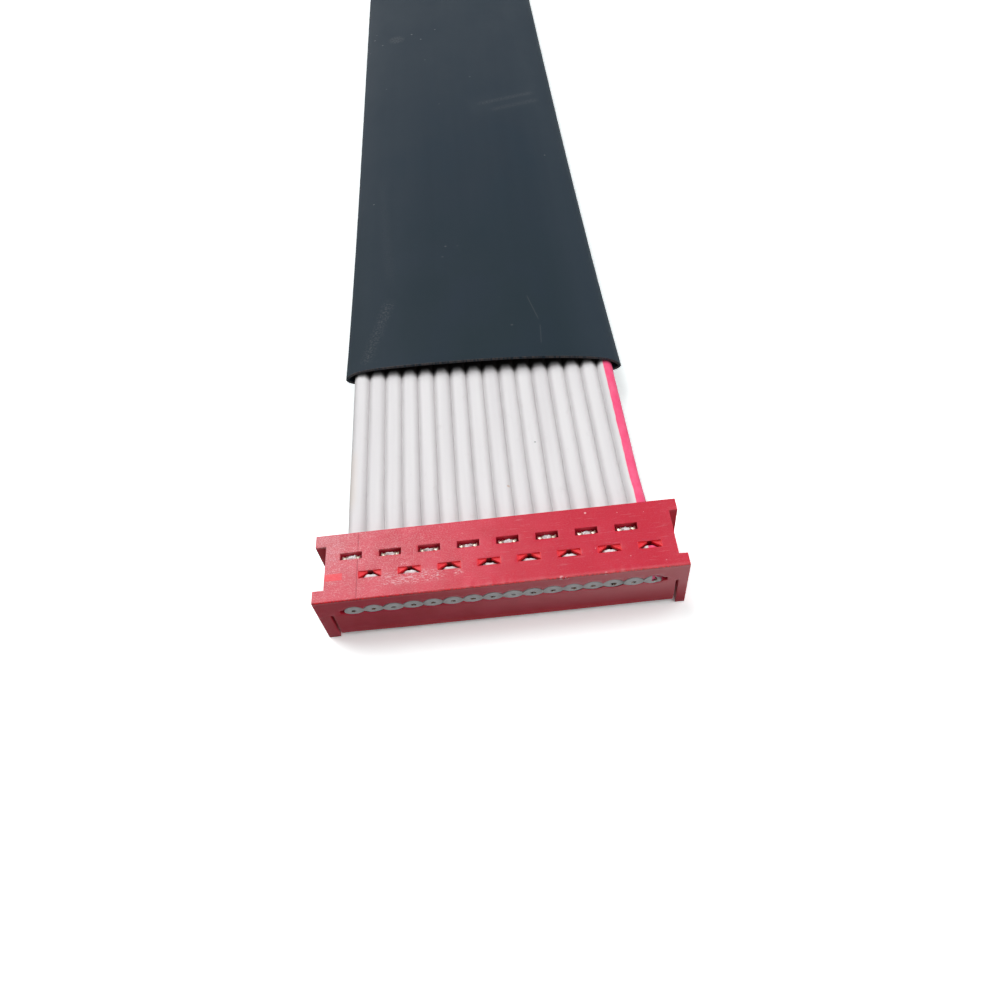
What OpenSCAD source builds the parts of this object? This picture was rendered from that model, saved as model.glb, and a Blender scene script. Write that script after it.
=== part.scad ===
// A 16-way flat ribbon cable: grey insulation over sixteen parallel copper conductors, one
// red piercing connector on each end and a flattened black sleeve round the run between them.
//
// Frame: the cable runs along Y. The origin is the middle of its length on the surface that it
// lies on, +Z is up, and connector A is the one at -Y.

/* [Cable] */
// Length over the front faces of the two connectors
cable_l = 300; // [200:1:600]
// Number of conductors side by side
ways = 16; // [8:2:18]
// Distance from one conductor to the next
pitch = 1.27; // [1.27:0.01:2.54]
// Height of the ridge of insulation over each conductor, from its top to its underside
ridge_h = 0.9; // [0.6:0.01:1.1]
// Width of that ridge
ridge_w = 1.2; // [0.8:0.01:1.25]
// Thickness of the web of insulation between two ridges
web_t = 0.3; // [0.15:0.01:0.4]
// Diameter of each copper conductor
core_d = 0.38; // [0.25:0.01:0.42]
// Clearance all round a conductor in its insulation
core_fit = 0.01; // [0.005:0.005:0.03]
// How far the middle of the cable lies to the left of a straight line
bow = 1.2; // [0.1:0.1:6]

/* [Sleeve] */
// Bare ribbon between a connector's front face and the sleeve, on the centre line
bare_l = 20.5; // [10:0.5:40]
// Wall thickness of the sleeve
sleeve_wall = 0.4; // [0.25:0.05:0.6]
// Gap between the ribbon's edge and the fold inside the sleeve
sleeve_side = 0.3; // [0.15:0.05:1]
// Gap under the ribbon inside the sleeve
sleeve_under = 0.05; // [0.02:0.01:0.2]
// Gap above the ribbon inside the sleeve, at its middle
sleeve_over = 0.3; // [0.1:0.05:1]
// Angle at which both ends of the sleeve were cut, off square
sleeve_skew = 4.5; // [0:0.5:10]

/* [Housing] */
// Width of the housing, from its front face to the face that the cable leaves
housing_w = 5.08; // [4.8:0.01:7]
// Height of the top face above the surface
housing_h = 4.55; // [4.5:0.05:8]
// How far the four corner legs reach below the walls
leg_drop = 0.35; // [0.1:0.05:1]
// Housing beyond the centre of the last conductor, at each end
end_margin = 1.65; // [1.4:0.05:3]
// How far the corner ears stand out of the end faces
ear_out = 0.55; // [0.3:0.05:1]
// Size of each ear along the housing's width
ear_w = 0.9; // [0.6:0.05:1.2]
// Width of the slot that frees each leg from the wall beside it
leg_slot = 0.18; // [0.1:0.01:0.3]
// Height of the solid top above the ribbon's middle
cover_h = 1.4; // [1.2:0.05:2]
// Thickness of the long walls round the cavity underneath
wall_t = 0.65; // [0.5:0.05:1]
// Depth of the cavity underneath, up from the walls' lower edge
cavity_h = 1.5; // [1:0.05:3]
// Clearance between a ridge and its slot, above and below, where the ribbon comes nearest
nest_gap = 0.05; // [0.03:0.01:0.2]
// Clear length beyond the ribbon's edge in the slot
nest_end = 0.275; // [0.1:0.025:0.6]
// Length of each window in the top, along the housing
window_l = 1.45; // [1.35:0.05:2]
// Width of each window in the top
window_w = 0.52; // [0.3:0.01:0.8]
// Thickness of the webs across the far corners of the front row's windows
corner_web_t = 0.35; // [0.2:0.05:0.5]
// How far those webs lie below the top face
corner_drop = 0.1; // [0.05:0.05:0.3]
// Opening left between those webs at the far side of the window
corner_gap = 0.3; // [0.1:0.05:0.8]

/* [Contacts] */
// Distance between the two rows of contacts
row_gap = 1.5; // [1.2:0.05:2.5]
// Thickness of the contact strip
contact_t = 0.2; // [0.15:0.01:0.3]
// Width of the forked end
fork_w = 1.3; // [1:0.01:1.35]
// Clear width left to the conductor on each side between the two tines
grip_gap = 0.03; // [0.02:0.005:0.05]
// Width of the blade that mates
blade_w = 0.7; // [0.4:0.05:1]
// Depth of the points below the top face, in the row by the cable
point_depth = 0.15; // [0.05:0.05:0.4]
// Clear height between the front row's points and the webs over them
point_gap = 0.15; // [0.05:0.05:0.4]
// Height of the blade's end above the lower edge of the walls
blade_lift = 0.15; // [0:0.05:0.5]
// Clearance all round a contact in the housing
contact_fit = 0.02; // [0.01:0.01:0.06]

/* [Hidden] */
$fn = 48;
over = 1;                              // how far a cut runs past the face that it opens
end_steps = 256;                       // facets that a full turn would have in the cable's arc

// Housing
row_l = (ways - 1) * pitch;            // first conductor to last
body_l = row_l + 2 * end_margin;
housing_l = body_l + 2 * ear_out;
slot_z = housing_h - cover_h;          // middle of the ribbon in the housing
floor_z = leg_drop + cavity_h;         // roof of the cavity, underside of the plate
cavity_l = body_l - 2 * (leg_slot + wall_t);

// Sleeve, measured from the middle of the ribbon
sleeve_in = [(row_l + ridge_w) / 2 + sleeve_side, ridge_h / 2 + sleeve_under, ridge_h / 2 + sleeve_over];
sleeve_out = sleeve_in + [sleeve_wall, sleeve_wall, sleeve_wall];
sleeve_l = cable_l - 2 * bare_l;

// Route of the cable: down from the slot of connector A to the surface in the middle of its
// length, where the sleeve's underside rests, and up to the slot of connector B.
route = [
    [0, -(cable_l - housing_w) / 2, slot_z],
    [-bow, 0, sleeve_out[1]],
    [0, (cable_l - housing_w) / 2, slot_z]
];
half_span = route[2].y;
sag = [route[0].x - route[1].x, route[0].z - route[1].z];
sag_l = norm(sag);
arc_r = (half_span * half_span + sag_l * sag_l) / (2 * sag_l);
arc_half = asin(half_span / arc_r);
lean = atan2(sag.x, sag.y);            // how far the arc's plane leans off upright
run_on = 1;                            // degrees that the arc runs past each slot, before it is trimmed

// Slot in the housing. The ribbon still climbs as it passes through, so the slot is higher than
// a ridge by that climb, from the middle of the housing to either face.
climb = sag.y * (pow(cable_l / 2 / half_span, 2) - 1);
nest_h = ridge_h + 2 * (nest_gap + climb);
nest_web = web_t + 2 * (nest_gap + climb - 0.01);
nest_l = row_l + ridge_w + 2 * nest_end;
leg_slot_h = slot_z - nest_h / 2 + 0.25;    // top of the slots beside the legs

// Contacts
fork_gap = core_d + 2 * grip_gap;
grip_z = slot_z - nest_h / 2;          // floor of the fork's gap
blade_z = leg_drop + blade_lift;
point_cut = 0.12;                      // fall of the slope on each side of a tine
point_in = 0.08;                       // how far a point stands in from the tine's side
notch = 0.15;                          // depth of the notch between a tine's two points

// Where conductor n lies across the cable: 1 is the striped edge, at +X
function conductor_x(n) = ((ways + 1) / 2 - n) * pitch;

// Sweeps a section, drawn with the cable's width along its X and its thickness along its Y,
// along the cable's arc
module along_cable() {
    translate(route[1])
        rotate([0, lean, 0])
            translate([0, 0, arc_r])
                rotate([0, 90, 0])
                    rotate([0, 0, -arc_half - run_on])
                        rotate_extrude(angle = 2 * (arc_half + run_on), $fn = end_steps)
                            translate([arc_r, 0])
                                rotate(90 + lean)
                                    children();
}

// Puts a connector's piece, drawn with its front face at Y = 0, on end A
module on_end_a() {
    translate([0, -cable_l / 2, 0]) children();
}

// Puts the same piece on end B, facing the other way
module on_end_b() {
    rotate(180) on_end_a() children();
}

// --- Cable ---------------------------------------------------------------------------------

module oval(w, h) {
    polygon([for (a = [0:30:330]) [w / 2 * cos(a), h / 2 * sin(a)]]);
}

module ribbon_section() {
    bore = core_d + 2 * core_fit;
    difference() {
        union() {
            for (n = [1:ways])
                translate([conductor_x(n), 0]) oval(ridge_w, ridge_h);
            square([row_l, web_t], center = true);
        }
        for (n = [1:ways])
            translate([conductor_x(n), 0]) oval(bore, bore);
    }
}

// What is left of a sweep between the two front faces
module cut_to_length() {
    intersection() {
        children();
        cube([2 * housing_l, cable_l, 4 * housing_h], center = true);
    }
}

module ribbon() {
    color("lightgray")
        difference() {
            cut_to_length() along_cable() ribbon_section();
            for (n = [1:ways]) {
                on_end_a() contact(n);
                on_end_b() contact(ways + 1 - n);
            }
        }
}

module conductor(n) {
    color("peru")
        cut_to_length() along_cable() translate([conductor_x(n), 0]) oval(core_d, core_d);
}

// The outline of a flattened tube: [half width, depth below the ribbon's middle, height above it]
module flat_tube(size) {
    w = size[0];
    below = size[1];
    above = size[2];
    polygon([
        [w, 0], [w - 0.3, 0.42 * above], [w - 0.95, 0.8 * above], [w - 2, 0.92 * above],
        [w / 2, 0.98 * above], [0, above], [-w / 2, 0.98 * above],
        [2 - w, 0.92 * above], [0.95 - w, 0.8 * above], [0.3 - w, 0.42 * above], [-w, 0],
        [0.3 - w, -0.6 * below], [0.65 - w, -0.94 * below], [1.2 - w, -below],
        [w - 1.2, -below], [w - 0.65, -0.94 * below], [w - 0.3, -0.6 * below]
    ]);
}

module sleeve() {
    color("darkslategray")
        intersection() {
            along_cable() difference() {
                flat_tube(sleeve_out);
                flat_tube(sleeve_in);
            }
            rotate(-sleeve_skew)
                cube([3 * housing_l, sleeve_l * cos(sleeve_skew), 4 * housing_h], center = true);
        }
}

// --- Connector -----------------------------------------------------------------------------

// Contact n of a connector: odd ones stand in the front row, even ones in the row by the cable
function in_front(n) = n % 2 == 1;
function row_y(n) = housing_w / 2 + (in_front(n) ? -1 : 1) * row_gap / 2;
function point_z(n) =
    housing_h - (in_front(n) ? corner_drop + corner_web_t + point_gap : point_depth);

// The window over contact n. A web crosses each far corner of the front row's windows.
module window(n) {
    x = window_l / 2;
    y = window_w / 2;
    top = in_front(n) ? cover_h - corner_drop - corner_web_t : cover_h + over;
    translate([-x, -y, slot_z]) cube([window_l, window_w, top]);
    if (in_front(n)) {
        translate([0, 0, slot_z])
            linear_extrude(cover_h + over)
                polygon([
                    [-x, -y], [x, -y], [x, -y + 0.1],
                    [corner_gap / 2, y], [-corner_gap / 2, y], [-x, -y + 0.1]
                ]);
        translate([-x, -y, housing_h - corner_drop])
            cube([window_l, window_w, corner_drop + over]);
    }
}

// The pocket that the body of a contact is pressed up into
module contact_pocket() {
    w = fork_w + 2 * contact_fit;
    t = contact_t + 2 * contact_fit;
    translate([-w / 2, -t / 2, leg_drop]) cube([w, t, slot_z - leg_drop]);
}

// A lens as wide as the pitch at the web's height and as high as the nest at its middle
module nest_lens() {
    rise = (nest_h - nest_web) / 2;
    r = (pitch * pitch / 4 + rise * rise) / (2 * rise);
    intersection() {
        translate([0, nest_h / 2 - r]) circle(r = r, $fn = 128);
        translate([0, r - nest_h / 2]) circle(r = r, $fn = 128);
    }
}

// The slot that the ribbon passes through, scalloped to its ridges
module nest() {
    translate([0, housing_w + over, slot_z])
        rotate([90, 0, 0])
            linear_extrude(housing_w + 2 * over) {
                square([nest_l, nest_web], center = true);
                for (n = [1:ways])
                    translate([conductor_x(n), 0]) nest_lens();
            }
}

module corner_ears() {
    for (side = [0, 1])
        mirror([side, 0, 0])
            for (y = [0, housing_w - ear_w])
                translate([body_l / 2 - leg_slot / 3, y, 0])
                    cube([ear_out + leg_slot / 3, ear_w, housing_h]);
}

// The slot on the inner side of each leg, round to the end face
module leg_slots() {
    slot_x = body_l / 2 - leg_slot * 4 / 3;
    for (side = [0, 1])
        mirror([side, 0, 0])
            for (back = [0, 1])
                translate([0, back * housing_w, 0])
                    mirror([0, back, 0]) {
                        translate([slot_x, -over, 0])
                            cube([leg_slot, ear_w + leg_slot + over, leg_slot_h]);
                        translate([slot_x, ear_w, 0])
                            cube([leg_slot + over, leg_slot, leg_slot_h]);
                    }
}

module housing() {
    color("crimson")
        difference() {
            union() {
                translate([-body_l / 2, 0, leg_drop])
                    cube([body_l, housing_w, housing_h - leg_drop]);
                corner_ears();
            }
            translate([-cavity_l / 2, wall_t, leg_drop - over])
                cube([cavity_l, housing_w - 2 * wall_t, cavity_h + over]);
            leg_slots();
            nest();
            for (n = [1:ways])
                translate([conductor_x(n), row_y(n), 0]) {
                    window(n);
                    contact_pocket();
                }
        }
}

// One half of a contact's outline, from the fork's gap round to the blade's end
function contact_half(top) = [
    [fork_gap / 2, grip_z],
    [fork_gap / 2, top - point_cut],
    [fork_gap / 2 + point_in, top],
    [(fork_gap + fork_w) / 4, top - notch],
    [fork_w / 2 - point_in, top],
    [fork_w / 2, top - point_cut],
    [fork_w / 2, floor_z],
    [blade_w / 2, floor_z],
    [blade_w / 2, blade_z + point_cut],
    [blade_w / 2 - point_cut, blade_z]
];

module contact(n) {
    half = contact_half(point_z(n));
    color("gainsboro")
        translate([conductor_x(n), row_y(n), 0])
            rotate([90, 0, 0])
                linear_extrude(contact_t, center = true)
                    polygon(concat(half, [for (i = [len(half) - 1:-1:0]) [-half[i].x, half[i].y]]));
}

on_end_a() housing();  // housing_a
on_end_b() housing();  // housing_b
ribbon();
sleeve();
for (n = [1:ways]) {
    conductor(n);
    on_end_a() contact(n);
    on_end_b() contact(ways + 1 - n);
}
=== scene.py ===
# %% [markdown]
# # A sixteen-way ribbon cable
# The cable is one strip of grey insulation over sixteen copper conductors. A red moulded
# connector is pressed on to each end, and a flattened black sleeve covers the run between.
# The sizes come from a finished CAD model, which is loaded first and never changed. Each
# cell below adds one thing to it: a shape that is too soft or too fine for CAD, or a finish.

import math
import random
from bisect import bisect_left

import bmesh
import bpy
from mathutils import Matrix, Vector, noise


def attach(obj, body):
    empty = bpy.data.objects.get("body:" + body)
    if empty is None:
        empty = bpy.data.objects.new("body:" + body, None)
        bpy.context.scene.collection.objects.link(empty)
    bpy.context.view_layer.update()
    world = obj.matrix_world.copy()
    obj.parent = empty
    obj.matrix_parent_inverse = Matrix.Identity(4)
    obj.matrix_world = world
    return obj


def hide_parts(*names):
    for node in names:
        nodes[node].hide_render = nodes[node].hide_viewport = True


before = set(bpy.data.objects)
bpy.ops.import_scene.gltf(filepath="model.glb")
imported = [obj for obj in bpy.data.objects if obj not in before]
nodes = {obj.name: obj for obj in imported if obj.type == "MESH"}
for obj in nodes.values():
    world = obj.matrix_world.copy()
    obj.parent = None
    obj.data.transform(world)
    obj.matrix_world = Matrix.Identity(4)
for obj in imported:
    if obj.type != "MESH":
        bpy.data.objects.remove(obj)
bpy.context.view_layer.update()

# %% [markdown]
# ## Sizes
# Blender works in metres and a connector is easier to read in millimetres, so every size is
# written in millimetres times MM. The route is the same three points as in the CAD source:
# one shallow arc, from the slot in one connector, down to the table, and up to the other.

# %% Sizes and the route
MM = 0.001
WAYS = 16
PITCH = 1.27 * MM
ROW = (WAYS - 1) * PITCH
RIDGE_W = 1.2 * MM
RIDGE_H = 0.9 * MM
CABLE = 300 * MM
HOUSING_W = 5.08 * MM
HOUSING_H = 4.55 * MM
SLOT_Z = 3.15 * MM
BARE = 20.5 * MM
SKEW = math.radians(4.5)
UP = Vector((0, 0, 1))

route = [
    Vector((0, -147.46, 3.15)) * MM,
    Vector((-1.2, 0, 0.9)) * MM,
    Vector((0, 147.46, 3.15)) * MM,
]
low = route[1]
sag = Vector((route[0].x - low.x, 0, route[0].z - low.z))
half_span = route[2].y
bend = (half_span**2 + sag.length**2) / (2 * sag.length)


def on_route(y):
    """The middle of the ribbon at a distance y along the cable."""
    return low + Vector((0, y, 0)) + sag.normalized() * (bend - math.sqrt(bend**2 - y**2))


def conductor_x(n):
    """Where conductor n lies across the cable; number 1 is the striped edge."""
    return ((WAYS + 1) / 2 - n) * PITCH


print("arc radius", round(bend, 3), "m, ends at", [round(v, 5) for v in on_route(-CABLE / 2)])

# %% [markdown]
# ## Camera
# The eye is close above connector A and looks down along the cable. The camera's axes are
# written out as three unit vectors, so the view can be repeated exactly. At this distance
# the near clipping plane has to move in, or it would cut the object away.

# %% Camera
lens = bpy.data.cameras.new("camera")
lens.sensor_width = 36
lens.lens = 36 * 0.80345
lens.clip_start = 0.001
camera = bpy.data.objects.new("camera", lens)
bpy.context.collection.objects.link(camera)
right = Vector((0.99372, -0.06778, -0.08905))
above = Vector((0.10742, 0.80084, 0.58916))
back = right.cross(above)
camera.matrix_world = Matrix.Translation(Vector((2.058, -175.32, 47.444)) * MM) @ Matrix(
    (right, above, back)
).transposed().to_4x4()
bpy.context.scene.camera = camera
print("camera looks", [round(-v, 3) for v in back])

# %% [markdown]
# ## A small language for finishes
# A finish is a tree of shader nodes. Wiring nodes by hand hides the idea, so a Shade wraps
# one output of a node, and Python's own operators on it add the Math nodes. Every other
# kind of node comes from one method, node(), which takes the kind, the settings and the
# values or links of its sockets.

# %% Shade: shader maths as Python expressions
class Shade:
    """One output of a shader node."""

    def __init__(self, tree, socket):
        self.tree, self.socket = tree, socket

    def node(self, kind, settings=None, sockets=None, out=0):
        """A new node in the same tree. Settings come first, then values or links."""
        made = self.tree.nodes.new("ShaderNode" + kind)
        for key, value in (settings or {}).items():
            if key == "stops":
                ramp = made.color_ramp
                while len(ramp.elements) < len(value):
                    ramp.elements.new(1)
                for stop, (place, colour) in zip(ramp.elements, value):
                    stop.position, stop.color = place, (*colour, 1)
            else:
                setattr(made, key, value)
        for key, value in (sockets or {}).items():
            if isinstance(value, Shade):
                self.tree.links.new(value.socket, made.inputs[key])
            else:
                made.inputs[key].default_value = value
        return None if out is None else Shade(self.tree, made.outputs[out])

    def math(self, operation, *values):
        return self.node("Math", {"operation": operation}, dict(enumerate((self, *values))))

    def __add__(self, other):
        return self.math("ADD", other)

    __radd__ = __add__

    def __mul__(self, other):
        return self.math("MULTIPLY", other)

    __rmul__ = __mul__

    def __sub__(self, other):
        return self.math("SUBTRACT", other)

    def __rsub__(self, other):
        return self.node("Math", {"operation": "SUBTRACT"}, {0: other, 1: self})

    def __truediv__(self, other):
        return self.math("DIVIDE", other)

    def __pow__(self, other):
        return self.math("POWER", other)

    def abs(self):
        return self.math("ABSOLUTE")

    def fract(self):
        return self.math("FRACT")

    def most(self, other):
        return self.math("MAXIMUM", other)

    def least(self, other):
        return self.math("MINIMUM", other)

    def ramp_to(self, start, end):
        """0 below start and 1 beyond end, with a soft step between. End may be the lower."""
        return self.node(
            "MapRange", {"interpolation_type": "SMOOTHSTEP"}, {0: self, 1: start, 2: end}
        )

    def near(self, value, reach):
        """1 where this is at a value, falling to 0 a reach away."""
        return (self - value).abs().ramp_to(reach, 0)

    def mix(self, first, second):
        """The first colour where this is 0, and the second where it is 1."""
        first, second = ((*c, 1) if isinstance(c, tuple) else c for c in (first, second))
        return self.node(
            "Mix", {"data_type": "RGBA"}, {0: self, 6: first, 7: second}, out=2
        )

    def xyz(self):
        return [self.node("SeparateXYZ", None, {0: self}, out=i) for i in range(3)]

    def scaled(self, x, y, z, turn=0.0):
        """This place as a pattern sees it, stretched along each axis and turned about Z."""
        return self.node("Mapping", None, {0: self, 2: (0, 0, turn), 3: (x, y, z)})

    def noise(self, scale, detail=2.0, roughness=0.5):
        return self.node(
            "TexNoise", None, {"Vector": self, "Scale": scale, "Detail": detail, "Roughness": roughness}
        )

    def cells(self, scale):
        """The distance to the nearest of some scattered points."""
        return self.node("TexVoronoi", None, {"Vector": self, "Scale": scale})

    def bump(self, strength, depth):
        """A Normal from this height, whose full range is depth."""
        return self.node(
            "Bump", None, {"Strength": strength, "Distance": depth, "Height": self}
        )


class Finish:
    """A material with one Principled shader, and the place that its patterns read."""

    def __init__(self, name, on_surface=False):
        self.material = bpy.data.materials.new(name)
        self.material.use_nodes = True
        tree = self.material.node_tree
        self.shader = tree.nodes["Principled BSDF"]
        start = Shade(tree, None)
        if on_surface:
            chart = start.node("TexCoord", out=2)
            self.place = start.node("Mapping", None, {0: chart, 1: (-20, -200, 0), 3: (40, 400, 1)})
        else:
            metres = start.node("TexCoord", out=3)
            self.place = start.node("Mapping", None, {0: metres, 3: (1000, 1000, 1000)})

    def set(self, **sockets):
        for name, value in sockets.items():
            socket = self.shader.inputs[name.replace("_", " ")]
            if isinstance(value, Shade):
                self.material.node_tree.links.new(value.socket, socket)
            else:
                socket.default_value = (*value, 1) if isinstance(value, tuple) else value
        print(self.material.name, len(self.material.node_tree.nodes), "nodes")


# %% [markdown]
# ## The ribbon's section
# The strip is extruded, so it is one section all along: sixteen ridges joined by thin webs,
# each with a hole for its conductor. It could be sixteen tubes side by side, but then the
# webs would be missing. Instead the outline is drawn once, ridge by ridge, as loose edges,
# and pulled along the route. Where a connector grips it, the ridges are pressed flatter and
# wider, so their ends look like a row of lenses.

# %% Heights of the ribbon's surface
WEB = 0.17 * MM
ON_TOP = (0, 0.18, 0.35, 0.5, 0.62, 0.72, 0.8, 0.87, 0.93, 0.97)
UNDERNEATH = (0, 0.4, 0.66, 0.83, 0.94)


def free_height(t):
    """Half the thickness of a free ridge, at t from -1 to 1 across one pitch."""
    return WEB + (RIDGE_H / 2 - WEB) * (1 - abs(t) ** 2.8) ** 0.85


def lens_height(t, side):
    """Half the thickness where a connector presses it: fuller above than below."""
    return (0.075 + (0.42 if side > 0 else 0.26) * (1 - t * t) ** 0.8) * MM


def edge_height(t):
    """Half the thickness on the outer side of an end ridge, which is rounded."""
    return RIDGE_H / 2 * math.sqrt(1 - t * t)


def across(steps):
    """Points across the ribbon from left to right: (x, t, whether it is an outer edge)."""
    rim = [(t, True) for t in (0.25, 0.5, 0.72, 0.88, 0.97, 1)]
    points = [(-ROW / 2 - RIDGE_W / 2 * t, t, edge) for t, edge in reversed(rim)]
    for k in range(WAYS):
        ts = [-1] * (k > 0) + [-t for t in reversed(steps[1:])] * (k > 0) + list(steps) * (k < WAYS - 1)
        ts += [0] * (k == WAYS - 1)
        points += [(-ROW / 2 + PITCH * (k + t / 2), t, False) for t in ts]
    return points + [(ROW / 2 + RIDGE_W / 2 * t, t, edge) for t, edge in rim]


outline = {1: across(ON_TOP), -1: across(UNDERNEATH)}
print(len(outline[1]), "points across the top,", len(outline[-1]), "underneath")

# %% [markdown]
# ## Pulling a section along the route
# Each step pulls the last ring of edges out with the extrude operator and moves it on along
# the route. The bend is so slight that the rings can stay upright, as the CAD's sections
# do. The steps are short near the connectors, where the shape changes, and long between.

# %% Sweep along the arc
def new_ring(bm, points, y):
    """A closed ring of edges through points drawn round the cable's middle, set at y."""
    ring = [bm.verts.new(on_route(y) + p) for p in points]
    return [bm.edges.new(pair) for pair in zip(ring, ring[1:] + ring[:1])]


def pull(bm, edges, stations):
    """Pulls edges from the first station through the rest, and returns the last ring."""
    for here, there in zip(stations, stations[1:]):
        grown = bmesh.ops.extrude_edge_only(bm, edges=edges)["geom"]
        verts = [g for g in grown if isinstance(g, bmesh.types.BMVert)]
        new = set(verts)
        edges = [
            g for g in grown if isinstance(g, bmesh.types.BMEdge) and new.issuperset(g.verts)
        ]
        bmesh.ops.translate(bm, verts=verts, vec=on_route(there) - on_route(here))
    return edges


def stations(start, end, fine, coarse, soft=12 * MM):
    """Distances from start to end: fine steps within soft of an outer end, coarse between."""
    places = [start]
    while places[-1] < end:
        edge = min(places[-1] - start, end - places[-1] if end > 0 else CABLE)
        places.append(places[-1] + (fine if edge < soft else coarse))
    places[-1] = end
    return places


def finished(bm, name, smooth_angle=40.0):
    """A mesh object from a bmesh, with smooth shading up to an angle."""
    mesh = bpy.data.meshes.new(name)
    bm.to_mesh(mesh)
    bm.free()
    mesh.shade_smooth()
    mesh.set_sharp_from_angle(angle=math.radians(smooth_angle))
    obj = bpy.data.objects.new(name, mesh)
    bpy.context.collection.objects.link(obj)
    triangles = sum(len(p.vertices) - 2 for p in mesh.polygons)
    print(name, triangles, "triangles")
    return obj


# %% [markdown]
# ## The ribbon
# The outline and the sixteen holes are pulled together, the ends are filled, and then each
# point gets its final height. Near the housings the centre line is eased level, because a
# connector holds the strip straight. Slow noise along the length keeps the ridges from
# looking machined.

# %% Build the ribbon
GRIP = CABLE / 2 - HOUSING_W
BORE = 0.38 * MM
OUTER_ROW = CABLE / 2 - HOUSING_W / 2 + 0.75 * MM
INNER_ROW = CABLE / 2 - HOUSING_W / 2 - 0.75 * MM


def ribbon_stations():
    """Along one half of the cable: close under the two rows of windows, then wider."""
    places = [CABLE / 2 - v * MM for v in (0, 0.05, 0.3, 0.8, 1.2)]
    for row in (OUTER_ROW, INNER_ROW):
        places += [row + (0.32 - 0.046 * k) * MM for k in range(15)]
        places.append(row - 0.5 * MM)
    places += [-y for y in stations(-GRIP - 0.3 * MM, 0, 0.9 * MM, 5.5 * MM)]
    outward = sorted({round(y, 7) for y in places})
    return [-y for y in reversed(outward)] + outward[1:]


bm = bmesh.new()
along = ribbon_stations()
upper = [Vector((x, 0, 0.3 * MM)) for x, t, edge in outline[1]]
lower = [Vector((x, 0, -0.3 * MM)) for x, t, edge in reversed(outline[-1][1:-1])]
upper[0].z = upper[-1].z = 0
edges = new_ring(bm, upper + lower, along[0])
for n in range(1, WAYS + 1):
    turns = [k * math.tau / 8 for k in range(8)]
    hole = [
        Vector((conductor_x(n) + BORE / 2 * math.cos(a), 0, 0.62 * BORE / 2 * math.sin(a)))
        for a in turns
    ]
    edges += new_ring(bm, hole, along[0])
bmesh.ops.triangle_fill(bm, edges=edges, use_beauty=True)
last = pull(bm, edges, along)
bmesh.ops.triangle_fill(bm, edges=last, use_beauty=True)
print("ribbon", len(bm.verts), "points at", len(along), "stations")

# %% [markdown]
# ## Pressing the ridges
# The rough outline only has flat tops. Here every point on the outside is moved to the
# height that its place across a ridge asks for. Under each window the blades of the contact
# have pushed the insulation up from below, so it rises in a torn little hill.

# %% Give each point its height
random.seed(16)
hill = {(end, n): random.uniform(-1, 1) for end in (-1, 1) for n in range(1, WAYS + 1)}


def grip(y):
    """1 inside a housing, 0 a few millimetres away from it."""
    t = min(max((abs(y) - (GRIP - 3.5 * MM)) / (3.5 * MM), 0), 1)
    return t * t * (3 - 2 * t)


def row_of(end, n):
    """The row that holds contact n of the connector at an end, and whether it is the outer."""
    outer = n % 2 == (1 if end < 0 else 0)
    return (OUTER_ROW if outer else INNER_ROW), outer


def pushed_up(x, y):
    """How high the insulation stands above its own top, under a window."""
    end = -1 if y < 0 else 1
    n = min(max(round((WAYS + 1) / 2 - x / PITCH), 1), WAYS)
    row, outer = row_of(end, n)
    dx = x - conductor_x(n)
    dy = abs(y) - row - (0.05 * MM if outer else 0.02 * MM)
    inside = 1 - (dx / (0.74 * MM)) ** 2 - (dy / ((0.22 if outer else 0.25) * MM)) ** 2
    if inside <= 0:
        return 0
    crumb = noise.noise(Vector((x / (0.11 * MM), y / (0.16 * MM), end)))
    if outer:
        rise = (0.80 + 0.07 * hill[end, n] + 0.10 * crumb) * MM * inside**0.2
        rise *= 1 - 0.10 * math.exp(-((dx / (0.12 * MM)) ** 2))
    else:
        rise = (0.71 + 0.05 * hill[end, n] + 0.28 * crumb) * MM * inside**0.12
    return max(rise, 0)


def height_at(x, y, side):
    """The height of the ribbon's skin above its middle, or its depth below."""
    t, edge = shape[side][bisect_left(columns[side], x - 0.004 * MM)]
    free = edge_height(t) if edge else free_height(t)
    pressed = lens_height(0, side) * math.sqrt(1 - t * t) if edge else lens_height(t, side)
    wave = 0.015 * MM * noise.noise(Vector((x / (2.6 * MM), y / (9 * MM), 4.2)))
    return free + (pressed - free) * grip(y) + wave * (1 - abs(t) ** 4)


columns = {side: [x for x, t, edge in points] for side, points in outline.items()}
shape = {side: [(t, edge) for x, t, edge in points] for side, points in outline.items()}
for v in bm.verts:
    y = min(max(v.co.y, -CABLE / 2), CABLE / 2)
    middle = on_route(y)
    x, h = v.co.x - middle.x, v.co.z - middle.z
    level = Vector((0, y, SLOT_Z - 0.035 * MM))
    middle = middle.lerp(level, grip(y))
    if abs(h) > 0.25 * MM:
        side = 1 if h > 0 else -1
        h = side * height_at(x, y, side) + (pushed_up(x, y) if side > 0 else 0)
    v.co = middle + Vector((x, 0, h))
bmesh.ops.recalc_face_normals(bm, faces=bm.faces)
print("ribbon height", round(max(v.co.z for v in bm.verts) / MM, 2), "mm at its highest hill")

# %% [markdown]
# ## Cut ends
# A blade cut the ends flush with the connector, not perfectly: each ridge ends at its own
# depth, and the striped one tore as it was cut, so its outer part ends short.

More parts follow.
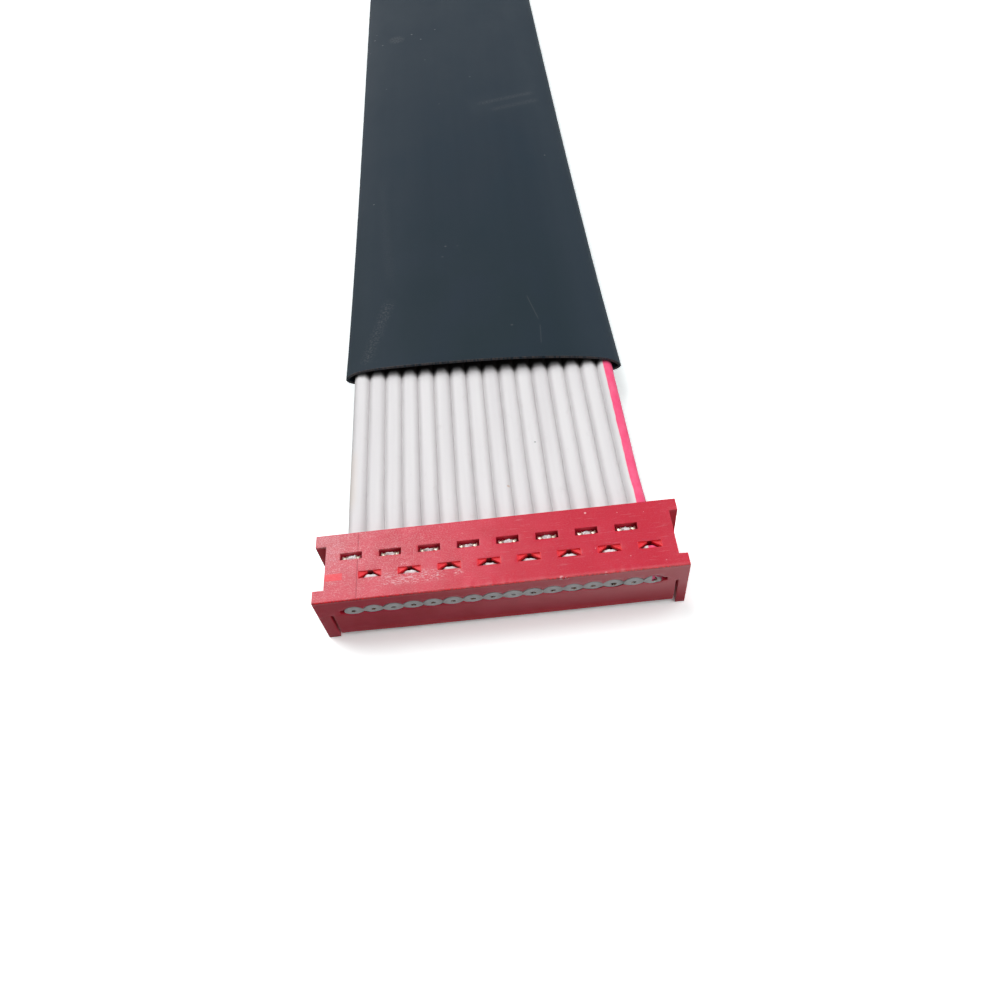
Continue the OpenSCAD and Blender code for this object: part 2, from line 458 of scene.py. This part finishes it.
# %% Rough ends and the torn ridge
cut = {(end, n): random.uniform(-0.01, 0.05) * MM for end in (-1, 1) for n in range(1, WAYS + 1)}
for v in bm.verts:
    end = -1 if v.co.y < 0 else 1
    if abs(abs(v.co.y) - CABLE / 2) > 0.02 * MM:
        continue
    n = min(max(round((WAYS + 1) / 2 - v.co.x / PITCH), 1), WAYS)
    short = cut[end, n] + 0.03 * MM * noise.noise(v.co / (0.25 * MM))
    torn = (v.co.x - conductor_x(1)) / (0.5 * MM)
    if end < 0 and torn > 0.05:
        flap = v.co.z < SLOT_Z - 0.13 * MM
        short += (0.02 if flap else 0.22 + 0.08 * noise.noise(v.co / (0.2 * MM))) * MM
        v.co.z += (0.02 if flap else -0.13) * MM * min(torn, 1)
    v.co.y -= end * max(short, 0.005 * MM)

surface_map = bm.loops.layers.uv.new("surface")
for face in bm.faces:
    cut_face = abs(face.normal.y) > 0.7
    for loop in face.loops:
        middle = on_route(max(min(loop.vert.co.y, CABLE / 2), -CABLE / 2))
        u = 0.5 + (loop.vert.co.x - middle.x * (1 - grip(loop.vert.co.y))) / (40 * MM)
        if cut_face and loop.vert.co.z < SLOT_Z + 0.02 * MM:
            u = min(u, 0.5 + 9.2 / 40)
        loop[surface_map].uv = (u, 0.5 + loop.vert.co.y / (400 * MM))
ribbon = finished(bm, "ribbon_insulation", 50)

# %% [markdown]
# ## Copper strands
# Each conductor is seven thin wires laid together. Along the middle they are hidden, so a
# single rod stands for them there. Near each cut end the seven wires are separate, and each
# ends at its own depth, a little smeared by the blade.

# %% Build the conductors
STRAND = 0.127 * MM


def strand_points(n, dx, dz, radius, sides):
    """A small ring of points about conductor n, offset by (dx, dz)."""
    centre = Vector((conductor_x(n) + dx, 0, dz))
    turns = [k * math.tau / sides for k in range(sides)]
    return [centre + radius * Vector((math.cos(a), 0, math.sin(a))) for a in turns]


def conductor(n):
    bm = bmesh.new()
    body = stations(-CABLE / 2 + 3 * MM, CABLE / 2 - 3 * MM, 4 * MM, 12 * MM)
    ring = new_ring(bm, strand_points(n, 0, 0, 0.9 * STRAND, 12), body[0])
    bmesh.ops.holes_fill(bm, edges=ring)
    bmesh.ops.holes_fill(bm, edges=pull(bm, ring, body))
    for end in (-1, 1):
        for k in range(7):
            a = k * math.tau / 6 + n
            out = STRAND if k < 6 else 0
            stop = CABLE / 2 - random.uniform(0.0, 0.12) * MM
            path = [end * y for y in (CABLE / 2 - 3.2 * MM, CABLE / 2 - 1.6 * MM, stop)]
            ring = new_ring(
                bm, strand_points(n, out * math.cos(a), 0.6 * out * math.sin(a), 0.42 * STRAND, 8), path[0]
            )
            bmesh.ops.holes_fill(bm, edges=ring)
            bmesh.ops.holes_fill(bm, edges=pull(bm, ring, path))
    for v in bm.verts:
        level = SLOT_Z - 0.035 * MM - on_route(v.co.y).z
        v.co.z += level * grip(v.co.y)
    bmesh.ops.recalc_face_normals(bm, faces=bm.faces)
    return finished(bm, f"strands_{n}")


strands = [conductor(n) for n in range(1, WAYS + 1)]

# %% [markdown]
# ## The sleeve
# A heat-shrink tube was pressed flat over the ribbon. It is drawn as one closed curve, the
# middle of its wall, pulled along the route, trimmed by two slanting cuts and then given
# its thickness. The tube stands a little open at its mouths and settles behind them.

# %% Build the sleeve
WALL = 0.4 * MM
HALF_W = ROW / 2 + RIDGE_W / 2 + 0.3 * MM + WALL / 2
TOP = RIDGE_H / 2 + 0.3 * MM + WALL / 2
UNDER = RIDGE_H / 2 + 0.05 * MM + WALL / 2
SLEEVE_END = CABLE / 2 - BARE


def tube_points():
    """The wall's middle line: nearly flat above and below, creased at the two folds."""
    steps = 34
    xs = [math.sin((k / steps - 0.5) * math.pi) for k in range(steps + 1)]
    top = [(HALF_W * x, TOP * (1 - abs(x) ** 11) ** 0.62 * (1 - 0.07 * x * x)) for x in xs]
    under = [(HALF_W * x, -UNDER * (1 - abs(x) ** 15) ** 0.62) for x in reversed(xs[1:-1])]
    return [Vector((x, 0, z)) for x, z in top + under]


def mouth(y, x):
    """The distance behind the nearer mouth, whose cut is not square."""
    slant = math.tan(SKEW) * x
    return min(SLEEVE_END - y - slant, SLEEVE_END + y + slant)


bm = bmesh.new()
along = stations(-SLEEVE_END - 2 * MM, SLEEVE_END + 2 * MM, 0.8 * MM, 3 * MM, 16 * MM)
pull(bm, new_ring(bm, tube_points(), along[0]), along)
for end in (-1, 1):
    normal = Vector((math.sin(SKEW), math.cos(SKEW), 0)) * end
    bmesh.ops.bisect_plane(
        bm,
        geom=bm.verts[:] + bm.edges[:] + bm.faces[:],
        plane_co=normal * SLEEVE_END * math.cos(SKEW),
        plane_no=normal,
        clear_outer=True,
        dist=1e-7,
    )
for v in bm.verts:
    centre = on_route(v.co.y)
    s, h = v.co.x - centre.x, v.co.z - centre.z
    behind = max(mouth(v.co.y, v.co.x), 0)
    arch = (1 - (s / HALF_W) ** 2) * math.exp(-behind / (5 * MM))
    ripple = 0.05 * MM * noise.noise(Vector((s / (6 * MM), v.co.y / (14 * MM), 1.7)))
    if h > 0:
        v.co.z += 0.52 * MM * arch + ripple
    flare = math.exp(-behind / (14 * MM))
    v.co.x += s / HALF_W * (0.30 * flare - 0.06) * MM
    v.co.z -= max(s / HALF_W, 0) ** 2 * 0.12 * MM * flare
bmesh.ops.recalc_face_normals(bm, faces=bm.faces)
bmesh.ops.solidify(bm, geom=bm.faces[:], thickness=WALL / 2)
bmesh.ops.recalc_face_normals(bm, faces=bm.faces)
print("sleeve", len(bm.verts), "points,", sum(e.is_boundary for e in bm.edges), "open edges")
surface_map = bm.loops.layers.uv.new("surface")
for face in bm.faces:
    for loop in face.loops:
        co = loop.vert.co
        loop[surface_map].uv = (0.5 + (co.x - on_route(co.y).x) / (40 * MM), 0.5 + co.y / (400 * MM))
sleeve = finished(bm, "heat_shrink_sleeve", 50)

# %% [markdown]
# ## The housings
# A moulding's edges are never quite sharp. A copy of the CAD housing is merged, its
# coplanar triangles are dissolved, and its edges are bevelled: the foot of the walls most,
# where the mould was worn, and the rest by a few hundredths of a millimetre.

# %% Tools for a moulding
def bevel(bm, edges, width, segments):
    bmesh.ops.bevel(
        bm,
        geom=edges,
        offset=width,
        offset_type="OFFSET",
        segments=segments,
        profile=0.5,
        affect="EDGES",
        clamp_overlap=True,
        material=-1,
    )


def cut(bm, geom, point, normal):
    """Cuts geometry along a plane, and returns what it has become."""
    return bmesh.ops.bisect_plane(
        bm, geom=geom, plane_co=point, plane_no=normal, dist=1e-7
    )["geom"]


def corners(bm):
    """Edges that are still sharp."""
    return [e for e in bm.edges if e.is_manifold and e.calc_face_angle() > math.radians(45)]


def close_slot(bm):
    """Draws the slot in to the ribbon, nearer below than above, as the cover presses it."""
    for v in bm.verts:
        off = (v.co.z - SLOT_Z) / MM
        if abs(v.co.x) < 10.45 * MM and abs(off) < 0.62:
            off = 0.65 * off if off < 0 else max(1.1 * off - 0.095, 0.55 * off)
            v.co.z = SLOT_Z + off * MM


print("tools for a moulding are ready")

# %% [markdown]
# Then it is cut into a grid, so that a little noise can make the faces slightly uneven. The
# two halves of the mould met along the front top edge, and left a thin ragged lip of
# plastic there. A few crumbs of it have curled away from the edge. The two ears away from
# the striped edge came out a little longer than the others.

# %% Build the housings
GRID = 0.45 * MM
LIP = 0.07 * MM
LONGER_EARS = 0.17 * MM
crumbs = [
    (3.80, 0.20, 0.06, 0.050),
    (4.06, 0.17, 0.05, 0.032),
    (6.58, 0.15, 0.05, 0.06),
    (-11.2, 0.06, 0.05, 0.05),
]


def lip_height(x):
    ragged = max(noise.noise(Vector((x / (0.35 * MM), 3.1, 0.4))), 0)
    return (0.012 + 0.075 * ragged) * MM if x > -9.07 * MM else 0.004 * MM


def moulded(name, node, facing):
    """A softened copy of a CAD housing, whose front faces -1 or 1 along the cable."""
    bm = bmesh.new()
    bm.from_mesh(nodes[node].data)
    bmesh.ops.remove_doubles(bm, verts=bm.verts, dist=1e-7)
    bmesh.ops.dissolve_limit(
        bm, angle_limit=math.radians(1), verts=bm.verts, edges=bm.edges, delimit=set()
    )
    close_slot(bm)
    low_edges = [
        e
        for e in corners(bm)
        if max(v.co.z for v in e.verts) < 0.4 * MM and e.calc_length() > 1 * MM and e.is_convex
    ]
    bevel(bm, low_edges, 0.12 * MM, 3)
    bevel(bm, corners(bm), 0.035 * MM, 2)
    everything = bm.verts[:] + bm.edges[:] + bm.faces[:]
    for k in range(-26, 27):
        everything = cut(bm, everything, (k * GRID, 0, 0), (1, 0, 0))
    for k in range(1, 12):
        everything = cut(bm, everything, (0, facing * (CABLE / 2 - k * GRID), 0), (0, 1, 0))
        everything = cut(bm, everything, (0, 0, k * GRID - 0.1 * MM), (0, 0, 1))
    front = facing * CABLE / 2
    strip = []
    for f in bm.faces:
        centre = f.calc_center_median()
        if abs(centre.y - front) < 0.3 * MM and centre.z > HOUSING_H - 0.3 * MM:
            strip += [f, *f.edges, *f.verts]
    strip = list(dict.fromkeys(strip))
    for k in range(-77, 78):
        strip = cut(bm, strip, ((k + 0.3) * GRID / 3, 0, 0), (1, 0, 0))
    for v in bm.verts:
        from_edge = math.hypot(v.co.y - front, v.co.z - HOUSING_H)
        if from_edge < LIP:
            rise = lip_height(v.co.x) * (1 - from_edge / LIP)
            v.co += Vector((0, 0.4 * facing * rise, rise))
        hang = max(1 - (v.co.x / (10.4 * MM)) ** 2, 0)
        if 0.2 * MM < v.co.z < 0.6 * MM:
            v.co.z -= 0.07 * MM * hang
        v.co += noise.noise_vector(v.co / (3 * MM)) * 0.012 * MM
        v.co += noise.noise_vector(v.co / (1.1 * MM)) * 0.004 * MM
        v.co.z = max(v.co.z, 0)
        if v.co.x * facing > 11.5 * MM:
            v.co.x += facing * LONGER_EARS
    for x, *size in crumbs:
        place = Matrix.Translation((x * MM, front + 0.02 * facing * MM, HOUSING_H - 0.01 * MM))
        place = place @ Matrix.Rotation(x, 4, "Y") @ Matrix.Diagonal((*(w * MM for w in size), 1))
        ball = bmesh.ops.create_icosphere(bm, subdivisions=2, radius=1, matrix=place)["verts"]
        for v in ball:
            v.co += noise.noise_vector(v.co / (0.09 * MM)) * 0.012 * MM
    bad = sum(not e.is_manifold for e in bm.edges)
    print(name, "open or shared edges", bad, "volume", round(bm.calc_volume() * 1e9, 1), "mm3")
    return finished(bm, name, 35)


housing_a = moulded("moulded_housing_a", "housing_a", -1)
housing_b = moulded("moulded_housing_b", "housing_b", 1)


# %% [markdown]
# ## Helpers for marks
# Wear is a few soft spots and thin lines at known places. A spot is a distance from a
# point. A scratch is a distance from a line, cut off at both ends.

# %% Spots and scratches
def spot(place, x, y, radius, soft=0.5):
    """1 inside a round spot seen from above, with a soft rim."""
    flat = place.scaled(1, 1, 0)
    away = place.node("VectorMath", {"operation": "DISTANCE"}, {0: flat, 1: (x, y, 0)}, out=1)
    return away.ramp_to(radius, radius * (1 - soft))


def scratch(place, start, end, width):
    """1 on a thin straight line between two points seen from above."""
    run = Vector(end) - Vector(start)
    length, (dx, dy) = run.length, run.normalized()
    dot = {"operation": "DOT_PRODUCT"}
    along = place.node("VectorMath", dot, {0: place, 1: (dx, dy, 0)}, out=1)
    across = place.node("VectorMath", dot, {0: place, 1: (-dy, dx, 0)}, out=1)
    middle = (Vector(start) + Vector(end)) / 2
    along = along.near(middle.x * dx + middle.y * dy, length / 2)
    across = across.near(-middle.x * dy + middle.y * dx, width)
    return along.ramp_to(0, 0.3) * across


def strongest(masks):
    """The largest of several masks."""
    most = masks[0]
    for mask in masks[1:]:
        most = most.most(mask)
    return most


# %% [markdown]
# ## Red plastic
# The housings are moulded in a glossy red nylon that picks up a fine uneven skin. The
# colour is nearly even, so the interest is in the roughness and in a very shallow ripple.
# A few pale scuffs lie along the front edge, and a mould line crosses the top.
# Light and shade are painted into the red as well: sheen and shade across the top, a glow
# at the foot of the front and in the windows, and shadow in the windows and the slot.

# %% Red plastic
def red_plastic():
    made = Finish("red_plastic")
    x, y, z = made.place.xyz()
    cloud = made.place.noise(0.55, 3)
    streak = made.place.scaled(0.25, 2.2, 2.2).noise(1.0, 3)
    grain = made.place.noise(7.0, 4, 0.6)
    fine = made.place.scaled(0.8, 1.3, 1).noise(13.0, 2, 0.6)
    red = cloud.ramp_to(0.3, 0.72).mix((0.585, 0.023, 0.050), (0.66, 0.036, 0.072))
    red = (streak.ramp_to(0.55, 0.75) * 0.3).mix(red, (0.72, 0.08, 0.11))
    # Painted shade: the red darkens towards the right end, where less of the lamps' sheen falls.
    red = (x.ramp_to(1, 11) * 0.35).mix(red, (0.50, 0.017, 0.038))
    lines = made.place.scaled(0.35, 3.0, 1).noise(2.6, 4, 0.7).ramp_to(0.56, 0.76)
    dots = made.place.scaled(1.7, 1.7, 0).cells(1.0).ramp_to(0.075, 0.045)
    dots = dots * made.place.scaled(0.3, 0.6, 0).noise(1.0, 2).ramp_to(0.50, 0.62)
    on_top = z.ramp_to(4.3, 4.5)
    left = x.ramp_to(1.5, -11.5)
    # Painted glints: fine specks where the rough top would catch the light.
    glint_specks = fine.ramp_to(0.47, 0.66)
    left = left * (0.6 + y.ramp_to(-149.9, -147.3) * 0.4)
    blotch = made.place.scaled(1, 1.6, 1).noise(1.6, 4, 0.7).ramp_to(0.42, 0.66)
    left = left * (0.75 + blotch * 0.5)
    left = left * (1 - y.ramp_to(-146.6, -145.2) * x.ramp_to(-10, -7) * 0.3)
    corner = x.ramp_to(-9.3, -10.8) * y.ramp_to(-149.0, -146.0)
    # A pale haze over the top: partly dust, partly a painted sheen, brightest to the left and back.
    dust_and_sheen = left * (0.09 + glint_specks * 0.26) + corner * 0.08 + glint_specks * 0.03 + lines * 0.10
    dust_and_sheen = on_top * (dust_and_sheen + dots * 0.4)
    # Painted shade: the top is a deeper, darker red towards the right, where the sheen fades.
    right_top_shade = on_top * x.ramp_to(-3.5, 4) * x.ramp_to(11.2, 9.8)
    red = (right_top_shade * 0.6).mix(red, (0.56, 0.007, 0.034))
    red = dust_and_sheen.mix(red, (0.95, 0.75, 0.78))
    dashes = made.place.scaled(0.6, 2.0, 1).noise(6.5, 4, 0.75).ramp_to(0.50, 0.60)
    rubbed = x.near(-5.5, 3.0).ramp_to(0, 0.5) * y.near(-148.75, 0.75).ramp_to(0, 0.6)
    rubbed = rubbed.most(spot(made.place, -2.6, -148.8, 0.4))
    specks = strongest(
        [
            spot(made.place, 5.82, -145.32, 0.09),
            spot(made.place, 3.76, -149.97, 0.17),
            spot(made.place, 4.08, -150.00, 0.12),
            spot(made.place, 6.52, -149.97, 0.12),
        ]
    )
    scuffs = (rubbed * dashes).most(specks) * on_top
    line = x.near(-9.07, 0.05) * z.ramp_to(4.3, 4.5) * y.ramp_to(-145.0, -145.15)
    lip = z.near(4.55, 0.12).ramp_to(0, 0.5) * y.abs().near(150, 0.12).ramp_to(0, 0.5)
    front = y.abs().ramp_to(149.7, 149.9)
    foot = front * z.ramp_to(1.3, 0.25) * x.abs().ramp_to(10.9, 7.0)
    rim = front * z.ramp_to(0.46, 0.37) * x.abs().ramp_to(10.9, 10.6)
    turned = x + y.ramp_to(-1, 1) * (PITCH / MM)
    from_way = ((turned / (2 * PITCH / MM) + 20.75).fract() - 0.5).abs()
    web = z.ramp_to(4.53, 4.50) * y.abs().near(148.21, 0.45).ramp_to(0, 0.3)
    web = web * x.abs().ramp_to(10.6, 10.4)
    notch = from_way * (2 * PITCH / MM) - (148.21 - y.abs()).most(0) * 0.45
    notch = notch + (cloud - 0.5) * 0.25 + (grain - 0.5) * 0.25
    notch_shadow = (notch.ramp_to(0.06, -0.02) + z.ramp_to(4.30, 4.10)).least(1)
    slot_shadow = z.near(3.2, 0.75).ramp_to(0, 0.2) * y.abs().ramp_to(149.995, 149.96)
    slot_shadow = slot_shadow * x.abs().ramp_to(9.9, 9.7)
    red = (scuffs * 0.6).mix(red, (0.90, 0.66, 0.68))
    red = (line * 0.5).mix(red, (0.30, 0.012, 0.02))
    # Painted shade: the lip along the front top edge is a darker, speckled red, as it faces down
    # to the front and takes no sheen.
    lip_shade_red = grain.ramp_to(0.42, 0.6).mix((0.30, 0.004, 0.008), (0.62, 0.005, 0.014))
    red = (lip * 0.95).mix(red, lip_shade_red)
    # Painted light: the foot of the front wall is a brighter, deeper red, as if lit through the wall.
    red = (foot * 0.55).mix(red, (0.85, 0.004, 0.016))
    # Painted light: the rounded bottom edge of the front wall is bright red, as if lit from the floor.
    red = (rim * 0.85).mix(red, (0.98, 0.025, 0.040))
    # Painted light: the webs inside the windows are bright red, as if lit through the plastic.
    red = (web * (1 - notch_shadow) * 0.85).mix(red, (0.86, 0.028, 0.042))
    # Painted shadow: the notch between the webs of each window is a dark red-brown.
    red = (web * notch_shadow * 0.9).mix(red, (0.13, 0.006, 0.006))
    window = (from_way * (2 * PITCH / MM)).ramp_to(0.79, 0.74)
    window = window * y.abs().near(148.21, 0.33).ramp_to(0.05, 0.2) * z.ramp_to(4.42, 4.53)
    # Painted light: the walls of each window are bright red, as if lit through the plastic.
    red = (window * 0.7).mix(red, (0.93, 0.045, 0.065))
    # Painted shadow: the inside of the slot, round the ribbon's ends, is nearly black.
    red = (slot_shadow * 0.85).mix(red, (0.035, 0.018, 0.012))
    height = cloud * 0.3 + streak * 0.2 + grain * 0.22 + fine * 0.12 - line * 0.5 + scuffs * 0.15
    made.set(
        Base_Color=red,
        Roughness=0.32 + grain * 0.16 + scuffs * 0.2,
        Coat_Weight=on_top * (1 - lip) * 0.35 + front * z.ramp_to(0.3, 2.8) * x.ramp_to(-10, 11) * 0.95,
        Normal=height.bump(0.6, 0.00006),
    )
    made.shader.inputs["Specular IOR Level"].default_value = 0.11
    made.shader.inputs["Coat Roughness"].default_value = 0.38
    made.shader.inputs["Subsurface Weight"].default_value = 0.25
    made.shader.inputs["Subsurface Radius"].default_value = (1.0, 0.08, 0.06)
    made.shader.inputs["Subsurface Scale"].default_value = 0.0003
    return made.material


# %% [markdown]
# ## Insulation, sleeve and metal
# The insulation is a pale grey vinyl, and its pattern follows the strip, so it reads the
# strip's own map: millimetres across and along. The red stripe is printed on the outer part
# of the last ridge only. The sleeve is a matt slate black with dust and a few scratches.
# The insulation's grooves are painted darker, for dirt and shade. The sleeve has painted sheen
# and painted shade.
# on its sides and a painted highlight along its mouths, and the copper's dark brown is oxide

# %% Grey insulation with its stripe
def grey_insulation():
    made = Finish("grey_insulation", on_surface=True)
    x, y, z = made.place.xyz()
    tone = made.place.scaled(1.1, 0.05, 1).noise(1.0, 3)
    dirt = made.place.scaled(1.6, 0.7, 1).noise(1.0, 5, 0.65)
    grain = made.place.scaled(6, 3, 1).noise(1.0, 3)
    grey = tone.ramp_to(0.3, 0.7).mix((0.745, 0.728, 0.742), (0.80, 0.787, 0.797))
    grey = (dirt.ramp_to(0.58, 0.82) * 0.25).mix(grey, (0.50, 0.46, 0.45))
    groove = ((x / (PITCH / MM) + 40.5).fract() - 0.5).abs()
    groove = groove.ramp_to(0.33, 0.05)
    # The grooves are painted darker: partly painted shade in the creases, partly dirt.
    grey = (groove * (0.18 + dirt * 0.2)).mix(grey, (0.34, 0.31, 0.31))
    stain = spot(made.place, -10.1, -139.5, 3.4) * x.ramp_to(-9.3, -9.9)
    grey = (stain * 0.5).mix(grey, (0.76, 0.68, 0.62))
    grey = (spot(made.place, 3.35, -137.79, 0.09) * 0.7).mix(grey, (0.25, 0.27, 0.27))
    grey = (spot(made.place, 1.09, -141.52, 0.13) * 0.5).mix(grey, (0.55, 0.33, 0.22))
    under = y.abs() - x * math.tan(SKEW) * (1 - 2 * y.ramp_to(-1, 1)) - SLEEVE_END / MM
    shade = (under + groove * -0.28).ramp_to(0.32, -0.5)
    edge = x + (made.place.scaled(0.2, 0.8, 1).noise(1.0, 2) - 0.5) * 0.12
    stripe = edge.ramp_to(9.37, 9.44)
    pink = dirt.ramp_to(0.35, 0.8).mix((0.95, 0.085, 0.222), (0.97, 0.16, 0.30))
    made.set(
        Base_Color=shade.mix(stripe.mix(grey, pink), (0.020, 0.018, 0.017)),
        Roughness=0.42 + grain * 0.16,
        Normal=(tone * 0.4 + grain * 0.15).bump(0.4, 0.00004),
    )
    made.shader.inputs["Specular IOR Level"].default_value = 0.3
    return made.material


# %% Black sleeve
def black_sleeve():
    made = Finish("black_sleeve", on_surface=True)
    x, y, z = made.place.xyz()
    band = made.place.scaled(0.75, 0.012, 1).noise(1.0, 2)
    cloud = made.place.scaled(0.22, 0.12, 1).noise(1.0, 4)
    grain = made.place.scaled(5, 5, 1).noise(1.0, 4, 0.65)
    specks = made.place.scaled(0.55, 0.55, 1).cells(1.0).ramp_to(0.085, 0.04)
    black = (band * 0.3 + cloud * 0.7).ramp_to(0.35, 0.65).mix(
        (0.0068, 0.0180, 0.0305), (0.0088, 0.0214, 0.0352)
    )
    near_end = y.ramp_to(-95, -128) * cloud.ramp_to(0.25, 0.6)
    black = (near_end * 0.8).mix(black, (0.0078, 0.0192, 0.0270))
    # Painted sheen: the sleeve is paler towards both sides, where the lamps' sheen falls, and
    # towards the middle of the cable; one broad pale smudge lies across it too.
    sheen_and_smudge = x.ramp_to(6, 10) * 0.9 + x.ramp_to(-3, -8) * 0.42 + y.abs().ramp_to(104, 66) * 0.75
    sheen_and_smudge = sheen_and_smudge + scratch(made.place, (0, -89), (10, -87.5), 3.5) * 0.35
    black = (sheen_and_smudge * (0.8 + band * 0.4)).least(1).mix(black, (0.0180, 0.0304, 0.0440))
    dust = strongest(
        [
            scratch(made.place, (-6.9, -119.5), (-9.4, -129.1), 0.8) * grain.ramp_to(0.42, 0.70),
            scratch(made.place, (-8.3, -99), (-7.0, -120.5), 0.8) * grain.ramp_to(0.3, 0.7) * 0.16,
            scratch(made.place, (1.5, -88.4), (9.3, -86.9), 0.6) * grain.ramp_to(0.35, 0.65) * 0.6,
            scratch(made.place, (3.0, -90.0), (9.6, -88.6), 0.7) * grain.ramp_to(0.3, 0.65) * 0.4,
            scratch(made.place, (4.3, -121.5), (5.1, -125.5), 0.08) * 0.5,
            scratch(made.place, (5.1, -125.5), (4.9, -128.5), 0.08) * 0.4,
            spot(made.place, -6.7, -69.8, 1.2) * grain.ramp_to(0.4, 0.62),
        ]
    )
    flecks = specks * made.place.scaled(0.08, 0.08, 1).noise(1.0, 2).ramp_to(0.52, 0.62)
    black = (dust * 0.16).mix(black, (0.30, 0.30, 0.30))
    black = (flecks * 0.30).mix(black, (0.42, 0.42, 0.42))
    to_mouth = (y.abs() - x * math.tan(SKEW) * (1 - 2 * y.ramp_to(-1, 1)) - SLEEVE_END / MM).abs()
    # Painted highlight: a brownish grey along the cut edge of each mouth.
    lip = to_mouth.ramp_to(0.10, 0.02) * grain.ramp_to(0.35, 0.6)
    black = (lip * 0.5).mix(black, (0.12, 0.095, 0.085))
    made.set(
        Base_Color=black,
        Roughness=0.55 + cloud * 0.2 + dust * 0.1,
        Normal=(band * 0.5 + cloud * 0.4 + grain * 0.04).bump(0.3, 0.0001),
    )
    made.shader.inputs["Specular IOR Level"].default_value = 0.19
    return made.material


# %% Copper and tin
def metal(name, dark, light, rough):
    made = Finish(name)
    cloud = made.place.noise(3.0, 4)
    grain = made.place.noise(14.0, 3)
    made.set(
        Base_Color=cloud.ramp_to(0.35, 0.65).mix(dark, light),
        Metallic=1.0,
        Roughness=rough + grain * 0.2,
        Normal=grain.bump(0.3, 0.00001),
    )
    return made.material


red = red_plastic()
grey = grey_insulation()
black = black_sleeve()
# The copper is a dark brown: oxide on the cut ends, and painted shade, for they lie in the
# shade of the front face.
copper = metal("copper", (0.05, 0.032, 0.026), (0.20, 0.12, 0.085), 0.35)
tin = metal("tin_plate", (0.58, 0.54, 0.47), (0.84, 0.82, 0.77), 0.22)

# %% [markdown]
# ## Who wears what
# Every new piece gets its finish, rides on the one body and takes the place of its CAD node,
# which is hidden. The contacts are already right in CAD, so they stay, and only get their
# tin finish.

# %% Assign finishes, ride and replace
def dress(piece, material, node):
    piece.data.materials.clear()
    piece.data.materials.append(material)
    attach(piece, "root")
    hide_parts(node)


dress(ribbon, grey, "ribbon")
dress(sleeve, black, "sleeve")
dress(housing_a, red, "housing_a")
dress(housing_b, red, "housing_b")
for n, piece in enumerate(strands, 1):
    dress(piece, copper, f"conductor_{n}")
contacts = [o for name, o in nodes.items() if name.startswith("contact_")]
for contact in contacts:
    contact.data.materials.clear()
    contact.data.materials.append(tin)
print(len(contacts), "contacts plated,", len(strands), "conductors replaced")

# %% [markdown]
# ## The cable as a cord
# The strip is one cord from cut end to cut end. It leaves connector A through the slot in
# the back wall and ends in connector B. Its length along the route is printed.

line = [on_route(-CABLE / 2 + CABLE * k / 36) for k in range(37)]
tuple(on_route(-GRIP))
print("cord", round(sum((b - a).length for a, b in zip(line, line[1:])), 4), "m")

# %% [markdown]
# ## Floor and light
# The floor is a pale sheet. A mirror, metal or the camera sees it nearly white, but what it
# throws back on the object is only its own grey, so the dark sides stay dark. One broad
# light stands behind the cable to the left, a weaker one to the right, and the sky fills.

# %% Floor, world and lamps
def lit_for_eyes(start, plain, mirrored, seen):
    """Three strengths: for the light thrown on objects, for a reflection and for the eye."""
    camera_ray, glossy_ray = (start.node("LightPath", out=i) for i in (0, 3))
    return plain + camera_ray * (seen - plain) + glossy_ray * (mirrored - plain)


bm = bmesh.new()
bmesh.ops.create_grid(bm, x_segments=8, y_segments=8, size=4)
floor = finished(bm, "floor")
paper = bpy.data.materials.new("floor_paper")
paper.use_nodes = True
tree = paper.node_tree
tree.nodes.clear()
start = Shade(tree, None)
fibre = start.node("TexCoord", out=3).noise(20.0, 3).ramp_to(0.3, 0.7)
tone = lit_for_eyes(start, 0.13, 0.80, 1.40) + fibre * 0.02
sheet = start.node(
    "BsdfDiffuse",
    None,
    {"Color": start.node("CombineXYZ", None, {0: tone, 1: tone * 1.05, 2: tone * 1.05})},
)
glow = start.node("Emission", None, {"Strength": lit_for_eyes(start, 0.0, 0.35, 0.12)})
both = start.node("AddShader", None, {0: sheet, 1: glow})
start.node("OutputMaterial", None, {"Surface": both}, out=None)
floor.data.materials.append(paper)

world = bpy.data.worlds.new("studio")
bpy.context.scene.world = world
world.use_nodes = True
sky = world.node_tree.nodes["Background"]
sky.inputs["Color"].default_value = (1, 1, 1, 1)
strength = lit_for_eyes(Shade(world.node_tree, None), 0.11, 0.55, 1.0)
world.node_tree.links.new(strength.socket, sky.inputs["Strength"])


def softbox(name, towards, strength, spread):
    """A broad lamp, far away, that shines from a direction."""
    lamp = bpy.data.lights.new(name, "SUN")
    lamp.energy, lamp.angle = strength, math.radians(spread)
    obj = bpy.data.objects.new(name, lamp)
    obj.rotation_mode = "QUATERNION"
    obj.rotation_quaternion = Vector(towards).to_track_quat("Z", "Y")
    bpy.context.collection.objects.link(obj)


softbox("softbox_left", (-0.40, 0.46, 0.80), 2.15, 44)
softbox("softbox_right", (0.58, -0.02, 0.82), 1.25, 58)
fill = bpy.data.lights.new("fill_right", "AREA")
fill.shape, fill.size, fill.energy = "DISK", 0.03, 0.012
fill_at = bpy.data.objects.new("fill_right", fill)
fill_at.location = (0.07, -0.19, 0.03)
fill_at.rotation_mode = "QUATERNION"
fill_at.rotation_quaternion = (fill_at.location - Vector((0.008, -0.15, 0.003))).to_track_quat("Z", "Y")
bpy.context.collection.objects.link(fill_at)
bpy.context.scene.view_settings.view_transform = "Standard"

# %% [markdown]
# ## Last step
# The finished object should fill the CAD model's box and not stand out of it. The view layer is updated.

# %% Bring the scene up to date
bpy.context.view_layer.update()
